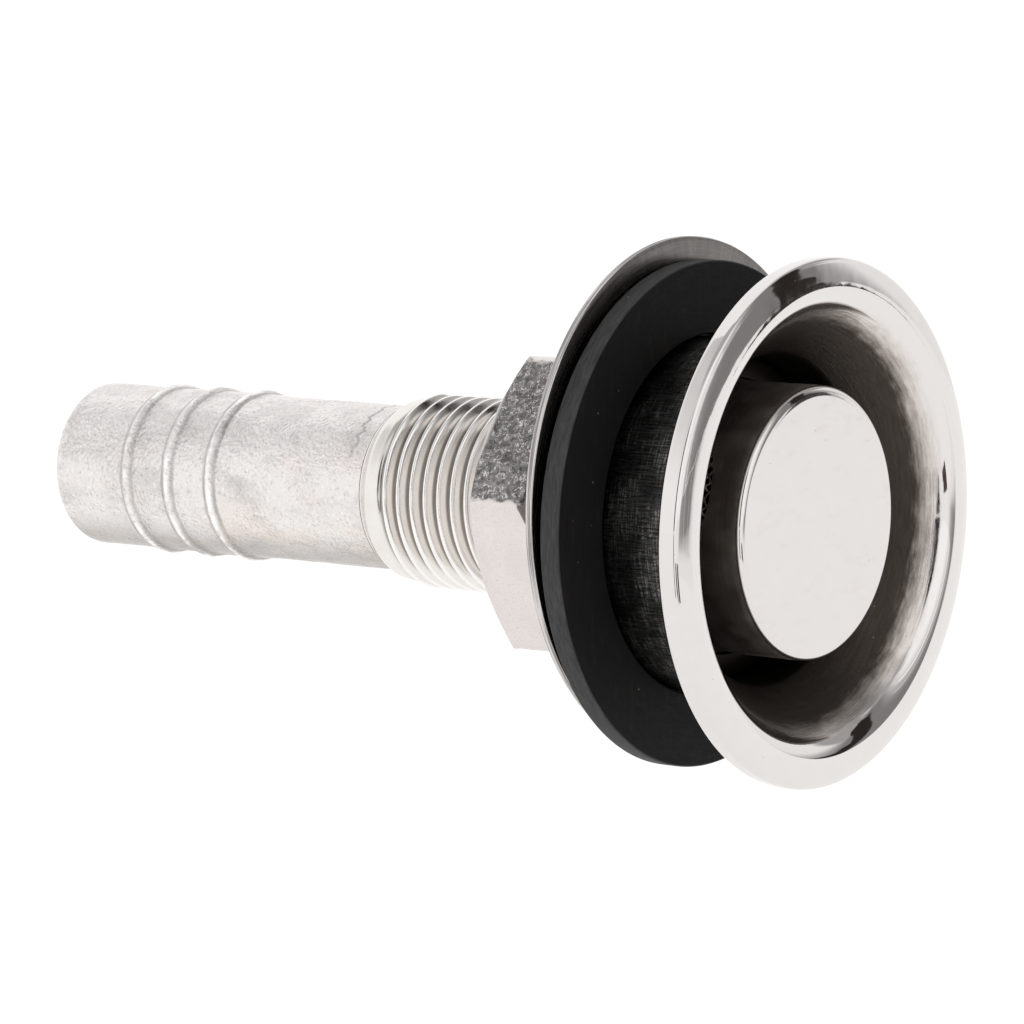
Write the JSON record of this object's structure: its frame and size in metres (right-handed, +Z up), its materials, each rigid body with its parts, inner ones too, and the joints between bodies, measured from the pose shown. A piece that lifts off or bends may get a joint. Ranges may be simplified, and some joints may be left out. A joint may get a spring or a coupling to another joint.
{
  "type": "thru hull vent fitting",
  "caption": "Flush-mount thru-hull vent with polished flange, screened centre cap, threaded stem and hose tail, clamped by a nut, washer and rubber ring.",
  "frame": {"origin": "centre of the hull hole, on the back face of the flange where it seats on the hull", "axes": "+X along the fitting's axis, out of the hull; the hose tail points to -X; +Z up"},
  "size_m": [0.0988, 0.0542, 0.0558],
  "materials": {
    "polished_steel": "mirror polished stainless steel",
    "cast_steel": "bead-blasted stainless casting with machined thread",
    "satin_steel": "satin rolled stainless sheet",
    "steel_wire": "drawn stainless wire",
    "black_rubber": "matte moulded rubber",
    "seal_rubber": "matte rubber"
  },
  "bodies": {
    "fitting": {"flange_cup": "polished_steel", "tail_stem": "cast_steel", "cup_seal": "seal_rubber", "vent_cap": "polished_steel", "flame_screen": "steel_wire", "screen_ring": "steel_wire"},
    "gasket": {"hull_gasket": "black_rubber"},
    "washer": {"backing_washer": "satin_steel"},
    "nut": {"hex_nut": "cast_steel"}
  },
  "joints": [
    {"name": "gasket_slide", "type": "slide", "parent": "fitting", "child": "gasket", "axis": [1, 0, 0], "range_m": [0, 0.007]},
    {"name": "washer_slide", "type": "slide", "parent": "fitting", "child": "washer", "axis": [1, 0, 0], "range_m": [-0.015, 0]},
    {"name": "nut_spin", "type": "hinge", "parent": "washer", "child": "nut", "pos_m": [-0.0271, 0, 0], "axis": [1, 0, 0], "range_deg": [-2970, 0]}
  ],
  "couplings": [
    {"joint": "washer_slide", "follows": "nut_spin", "m_per_rad": 0.00028875}
  ]
}
